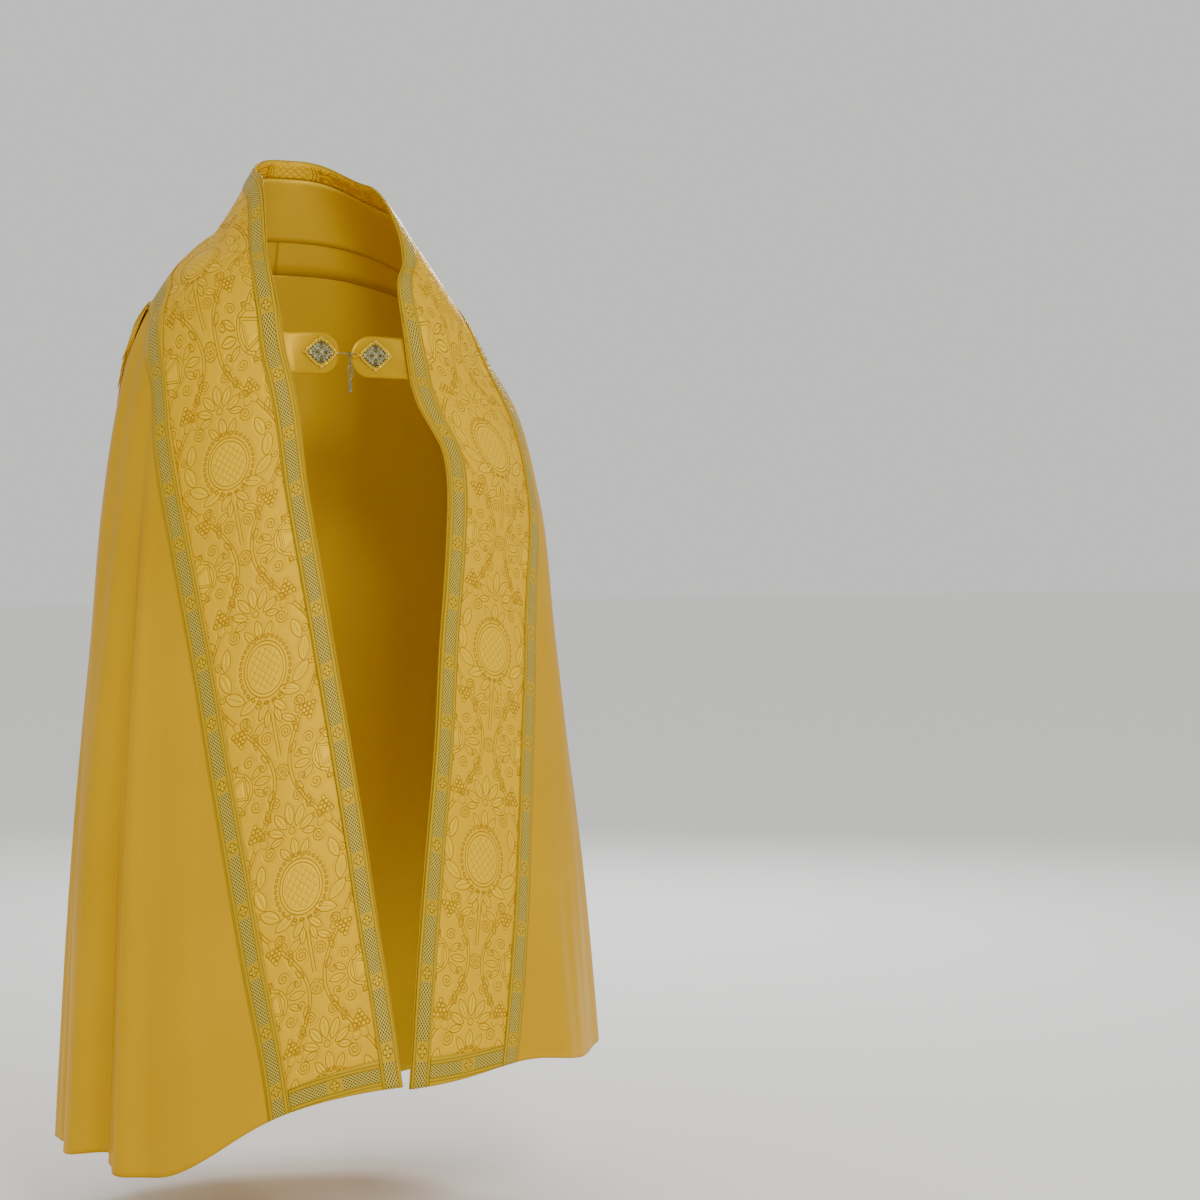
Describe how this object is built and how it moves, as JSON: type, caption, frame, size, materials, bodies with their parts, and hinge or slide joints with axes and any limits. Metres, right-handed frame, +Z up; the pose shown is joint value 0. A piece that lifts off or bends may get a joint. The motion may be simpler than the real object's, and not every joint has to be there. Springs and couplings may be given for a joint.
{
  "type": "liturgical cope",
  "caption": "Floor-length open-front cope with a patterned band round the neck and down both fronts, a fringed shield hood at the back and a clasped chest tab.",
  "frame": {"origin": "on the axis of the wearer's neck, at the height of the shoulders beside it, where the wearer holds the cope up", "axes": "+Z up, the wearer faces -Y, the wearer's left side is +X"},
  "size_m": [0.8233, 0.7475, 1.4836],
  "materials": {
    "satin": "smooth gold satin",
    "damask": "gold damask with a tone-on-tone pattern",
    "galloon": "woven metallic galloon in gold and silver green",
    "lining": "plain gold lining satin",
    "fringe": "twisted metallic bullion fringe",
    "metal": "bright gold and silver filigree"
  },
  "bodies": {
    "garment": {"cope_body": "satin", "orphrey_right": "damask", "orphrey_left": "damask", "neck_facing": "damask", "collar_lining": "lining", "galloon_inner": "galloon", "galloon_outer": "galloon", "galloon_centre_back": "galloon", "galloon_hem_right": "galloon", "galloon_hem_left": "galloon", "hood": "damask", "hood_galloon": "galloon", "hood_fringe": "fringe", "morse_tab_right": "satin", "morse_tab_left": "satin", "clasp_plate_right": "metal", "clasp_plate_left": "metal", "clasp_hook": "metal", "clasp_eye": "metal"},
    "pendant": {"pendant_ring": "metal", "clasp_pendant": "metal"}
  },
  "joints": [
    {"name": "pendant_swing", "type": "hinge", "parent": "garment", "child": "pendant", "pos_m": [-0.0125, -0.182, -0.168], "axis": [-1, 0, 0], "range_deg": [-30, 75]}
  ]
}
